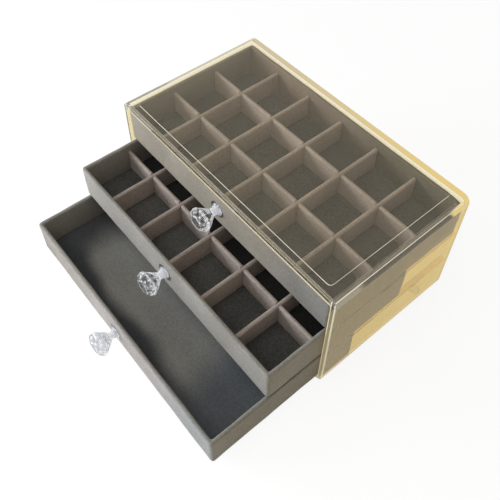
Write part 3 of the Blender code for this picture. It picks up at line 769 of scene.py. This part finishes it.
# Zinc-plated steel: a bright cool grey, a little uneven in gloss with the plating's grain.
zinc_steel = new_material("zinc_plated_steel")
where = add_node(zinc_steel, "TexCoord", {}, [])["Object"]
grained = {"Vector": where, "Scale": 1 / PLATING_GRAIN, "Detail": 4.0}
grain = add_node(zinc_steel, "TexNoise", {}, grained)["Fac"]
plating = {0: grain, 6: linear("D5D7D9"), 7: linear("B9BBBE")}
relief = {"Height": grain, "Strength": 0.2, "Distance": PLATING_HEIGHT}
steel = add_node(
    zinc_steel,
    "BsdfPrincipled",
    {},
    {
        "Base Color": add_node(zinc_steel, "Mix", COLOUR, plating)[2],
        "Metallic": 1.0,
        "Roughness": add_node(zinc_steel, "MapRange", {}, [grain, 0.0, 1.0, 0.22, 0.45])[0],
        "Normal": add_node(zinc_steel, "Bump", {}, relief)["Normal"],
    },
)[0]
add_node(zinc_steel, "OutputMaterial", {}, {"Surface": steel})
for drawer in DRAWERS:
    dress(f"{drawer}_drawer_knob_screw", zinc_steel)


# The table is a wide sheet of white paper under the box. It takes the box's soft shadow and otherwise reads
# as plain white, because what the camera sees of it, also through the acrylic, glows.

TABLE_HALF = 3.0
TABLE_STEPS = 12
PAPER_FIBRE = 0.0025
PAPER_SEEN = (0.30, 0.30, 0.30, 1.0)
PAPER_GLOW = (0.22, 0.88)

# White paper: matt and even, with a faint cloudiness of its fibres.
paper = new_material("white_paper")
where = add_node(paper, "TexCoord", {}, [])["Object"]
fibres = add_node(paper, "TexNoise", {}, {"Vector": where, "Scale": 1 / PAPER_FIBRE, "Detail": 3.0})["Fac"]
cloudy = add_node(paper, "Mix", COLOUR, {0: fibres, 6: linear("E4E4E3"), 7: linear("DEDEDC")})[2]
rays = add_node(paper, "LightPath", {}, [])
seen = add_node(paper, "Math", MAXIMUM, [rays["Is Camera Ray"], rays["Is Transmission Ray"]])[0]
multiplied = {"data_type": "RGBA", "blend_type": "MULTIPLY"}
shown = add_node(paper, "Mix", multiplied, {0: seen, 6: cloudy, 7: PAPER_SEEN})[2]
matt = {"Base Color": shown, "Roughness": 0.9, "Specular IOR Level": 0.1}
sheet = add_node(paper, "BsdfPrincipled", {}, matt)[0]
strength = add_node(paper, "MapRange", SMOOTH, [seen, 0.0, 1.0, *PAPER_GLOW])[0]
shine = add_node(paper, "Emission", {}, {"Color": (1.0, 1.0, 1.0, 1.0), "Strength": strength})[0]
both = add_node(paper, "AddShader", {}, [sheet, shine])[0]
add_node(paper, "OutputMaterial", {}, {"Surface": both})

table_edge = np.linspace(-TABLE_HALF, TABLE_HALF, TABLE_STEPS + 1)
table_x, table_y = np.meshgrid(table_edge, table_edge)
table_points = np.stack([table_x, table_y, np.zeros_like(table_x)], axis=2).reshape(-1, 3)
row_length = TABLE_STEPS + 1
cell = (np.arange(TABLE_STEPS)[:, None] * row_length + np.arange(TABLE_STEPS)[None, :]).reshape(-1, 1)
table_faces = cell + np.array([[0, 1, row_length + 1, row_length]])
table_mesh = bpy.data.meshes.new("table")
table_mesh.from_pydata(table_points.tolist(), [], table_faces.tolist())
table_mesh.materials.append(paper)
table = bpy.data.objects.new("table", table_mesh)
bpy.context.scene.collection.objects.link(table)


# Soft studio light: a pale room all round, a wide window in front on the left, a soft lamp overhead, and
# weak fills on the right and behind. Polished pieces mirror only the overhead lamp and the room, which is
# warmer higher up.

ROOM_LEVEL = 0.17
ROOM_MIRRORED = (1.1, 0.75)
ROOM_RISE = (0.05, 0.6)
ROOM_LOW = "FFFFFF"
ROOM_HIGH = "FFF4E0"
LAMP_AIM = (0.0, 0.0, 0.05)

room = bpy.data.worlds.new("room")
room.use_nodes = True
room.node_tree.nodes.clear()
bpy.context.scene.world = room
rays = add_node(room, "LightPath", {}, [])
rise = add_node(room, "SeparateXYZ", {}, [add_node(room, "TexCoord", {}, [])["Generated"]])["Z"]
mirrored = add_node(room, "MapRange", SMOOTH, [rise, *ROOM_RISE, *ROOM_MIRRORED])[0]
seen = add_node(room, "Math", MAXIMUM, [rays["Is Camera Ray"], rays["Is Transmission Ray"]])[0]
number = {"data_type": "FLOAT"}
level = add_node(room, "Mix", number, {0: rays["Is Glossy Ray"], 2: ROOM_LEVEL, 3: mirrored})[0]
level = add_node(room, "Mix", number, {0: seen, 2: level, 3: 1.0})[0]
warmth = add_node(room, "MapRange", SMOOTH, [rise, *ROOM_RISE])[0]
warmth = add_node(room, "Math", MULTIPLY, [rays["Is Glossy Ray"], warmth])[0]
colour = add_node(room, "Mix", COLOUR, {0: warmth, 6: linear(ROOM_LOW), 7: linear(ROOM_HIGH)})[2]
room_light = add_node(room, "Background", {}, {"Color": colour, "Strength": level})[0]
add_node(room, "OutputWorld", {}, {"Surface": room_light})


def add_lamp(name, place, width, height, watts, colour, mirrored):
    """A soft rectangular lamp that faces the box, and shows in polished surfaces or not."""
    data = bpy.data.lights.new(name, "AREA")
    data.shape = "RECTANGLE"
    data.size = width
    data.size_y = height
    data.energy = watts
    data.color = linear(colour)[:3]
    lamp = bpy.data.objects.new(name, data)
    lamp.location = place
    lamp.rotation_euler = (Vector(LAMP_AIM) - Vector(place)).to_track_quat("-Z", "Y").to_euler()
    lamp.visible_glossy = mirrored
    lamp.visible_transmission = mirrored
    bpy.context.scene.collection.objects.link(lamp)


add_lamp("window", (-0.50, -0.60, 0.24), 0.5, 0.35, 5.4, "EFF5FF", mirrored=False)
add_lamp("overhead", (0.0, -0.45, 1.25), 0.8, 0.8, 3.8, "FFFBF4", mirrored=True)
add_lamp("warm_fill", (1.1, 0.1, 0.45), 0.6, 0.5, 0.6, "FFEFCC", mirrored=False)
add_lamp("back_fill", (0.4, 1.3, 0.35), 0.8, 0.5, 1.6, "FFFFFF", mirrored=False)


# The camera looks down on the box from the right of its front, as in the photograph. Its place, turn and
# focal length were fitted to the box's straight edges, and its shift puts the optical axis on pixel row 170.

CAMERA_AZIMUTH = 49.829
CAMERA_ELEVATION = 48.458
CAMERA_ROLL = 0.516
CAMERA_PLACE = (0.23889, -0.17937, 0.46088)
FOCAL_PIXELS = 663.3
IMAGE_PIXELS = 500
OPTICAL_ROW = 170
SENSOR = 36.0

angles = (CAMERA_AZIMUTH, CAMERA_ELEVATION, CAMERA_ROLL)
azimuth, elevation, roll = (math.radians(angle) for angle in angles)
level = math.cos(elevation)
backward = Vector((math.sin(azimuth) * level, -math.cos(azimuth) * level, math.sin(elevation)))
level_right = (-backward).cross(Vector((0, 0, 1))).normalized()
level_up = level_right.cross(-backward)
rightward = math.cos(roll) * level_right + math.sin(roll) * level_up
upward = -math.sin(roll) * level_right + math.cos(roll) * level_up
camera_data = bpy.data.cameras.new("camera")
camera_data.sensor_width = SENSOR
camera_data.lens = FOCAL_PIXELS * SENSOR / IMAGE_PIXELS
camera_data.shift_y = (OPTICAL_ROW - IMAGE_PIXELS / 2) / IMAGE_PIXELS
camera_data.clip_start = 0.01
camera_data.clip_end = 20
camera = bpy.data.objects.new("camera", camera_data)
axes = Matrix((rightward, upward, backward)).transposed().to_4x4()
camera.matrix_world = Matrix.Translation(CAMERA_PLACE) @ axes
bpy.context.scene.collection.objects.link(camera)
bpy.context.scene.camera = camera
bpy.context.scene.view_settings.view_transform = "Standard"
